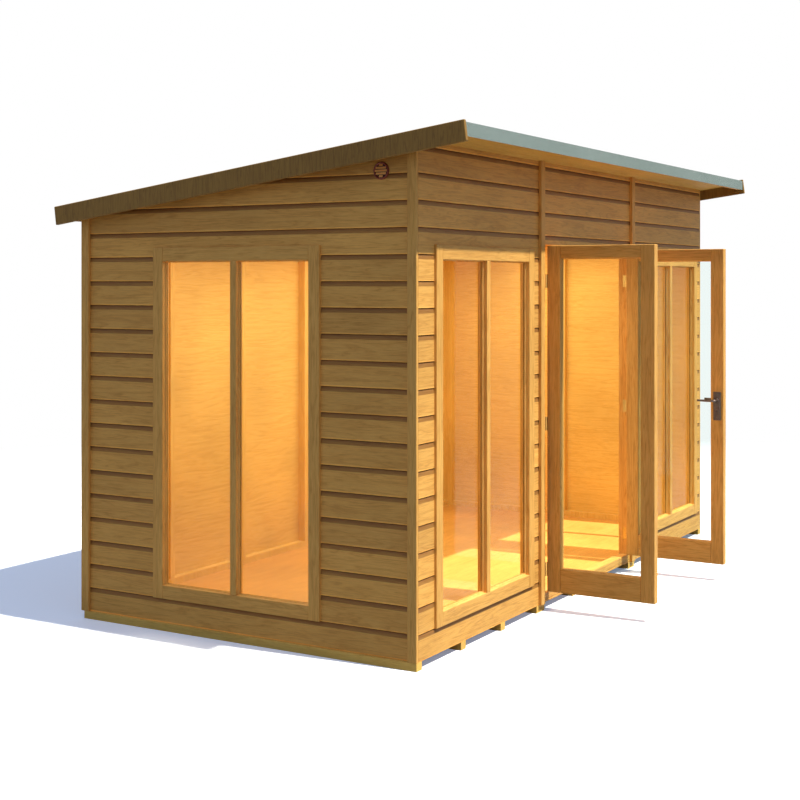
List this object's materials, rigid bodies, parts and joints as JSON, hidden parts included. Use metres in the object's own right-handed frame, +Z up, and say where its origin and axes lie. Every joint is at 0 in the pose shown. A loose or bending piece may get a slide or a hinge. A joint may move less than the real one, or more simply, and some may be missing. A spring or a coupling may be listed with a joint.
{
  "type": "summerhouse",
  "caption": "Timber garden summerhouse with a single slope felt roof, tall fixed windows and a pair of glazed doors in the long front.",
  "frame": {"origin": "centre of the footprint of the whole object with its doors open, on the ground", "axes": "+X along the front, to the right seen from outside; -Y out of the glazed front; +Z up"},
  "size_m": [3.78, 2.507, 2.2455],
  "materials": {
    "cladding_timber": "honey brown stained softwood shiplap",
    "joinery_timber": "honey brown stained planed softwood",
    "frame_timber": "stained sawn softwood",
    "floor_timber": "smooth pale boarded floor",
    "bearer_timber": "sawn softwood",
    "barge_timber": "darker stained softwood",
    "window_glass": "clear flat glazing",
    "roof_felt": "grey green mineral roofing felt",
    "hinge_brass": "satin brass",
    "handle_bronze": "dark bronze",
    "vent_plastic": "terracotta moulded plastic"
  },
  "bodies": {
    "building": {"bearers_left": "bearer_timber", "bearers_middle": "bearer_timber", "bearers_right": "bearer_timber", "floor_left": "floor_timber", "floor_middle": "floor_timber", "floor_right": "floor_timber", "front_left_cladding": "cladding_timber", "front_left_studs": "frame_timber", "front_left_window": "joinery_timber", "front_left_glass": "window_glass", "front_right_cladding": "cladding_timber", "front_right_studs": "frame_timber", "front_right_window": "joinery_timber", "front_right_glass": "window_glass", "door_posts": "joinery_timber", "threshold": "joinery_timber", "header_cladding": "cladding_timber", "header_frame": "frame_timber", "joint_strips": "cladding_timber", "corner_trims": "cladding_timber", "left_wall_cladding": "cladding_timber", "left_wall_studs": "frame_timber", "left_wall_window": "joinery_timber", "left_wall_glass": "window_glass", "vent": "vent_plastic", "right_wall_cladding": "cladding_timber", "right_wall_studs": "frame_timber", "back_left_cladding": "cladding_timber", "back_right_cladding": "cladding_timber", "back_studs": "frame_timber", "rafters": "frame_timber", "roof_deck": "frame_timber", "roof_felt": "roof_felt", "eaves_battens": "frame_timber", "barge_left": "barge_timber", "barge_right": "barge_timber", "jamb_hinges": "hinge_brass"},
    "left_door": {"left_door_leaf": "joinery_timber", "left_door_glass": "window_glass", "left_door_hinges": "hinge_brass"},
    "right_door": {"right_door_leaf": "joinery_timber", "right_door_glass": "window_glass", "right_door_hinges": "hinge_brass", "handle_plates": "handle_bronze"},
    "door_lever": {"handle_lever": "handle_bronze"}
  },
  "joints": [
    {"name": "left_door_hinge", "type": "hinge", "parent": "building", "child": "left_door", "pos_m": [-0.556, -0.7005, 0.933], "axis": [0, 0, 1], "range_deg": [-60, 90]},
    {"name": "right_door_hinge", "type": "hinge", "parent": "building", "child": "right_door", "pos_m": [0.556, -0.7005, 0.933], "axis": [0, 0, -1], "range_deg": [-60, 90]},
    {"name": "lever_turn", "type": "hinge", "parent": "right_door", "child": "door_lever", "pos_m": [0.5285, -1.2185, 0.966], "axis": [-1, 0, 0], "range_deg": [0, 35], "stiffness_Nm_per_rad": 1.5, "springref_deg": -14.32}
  ]
}
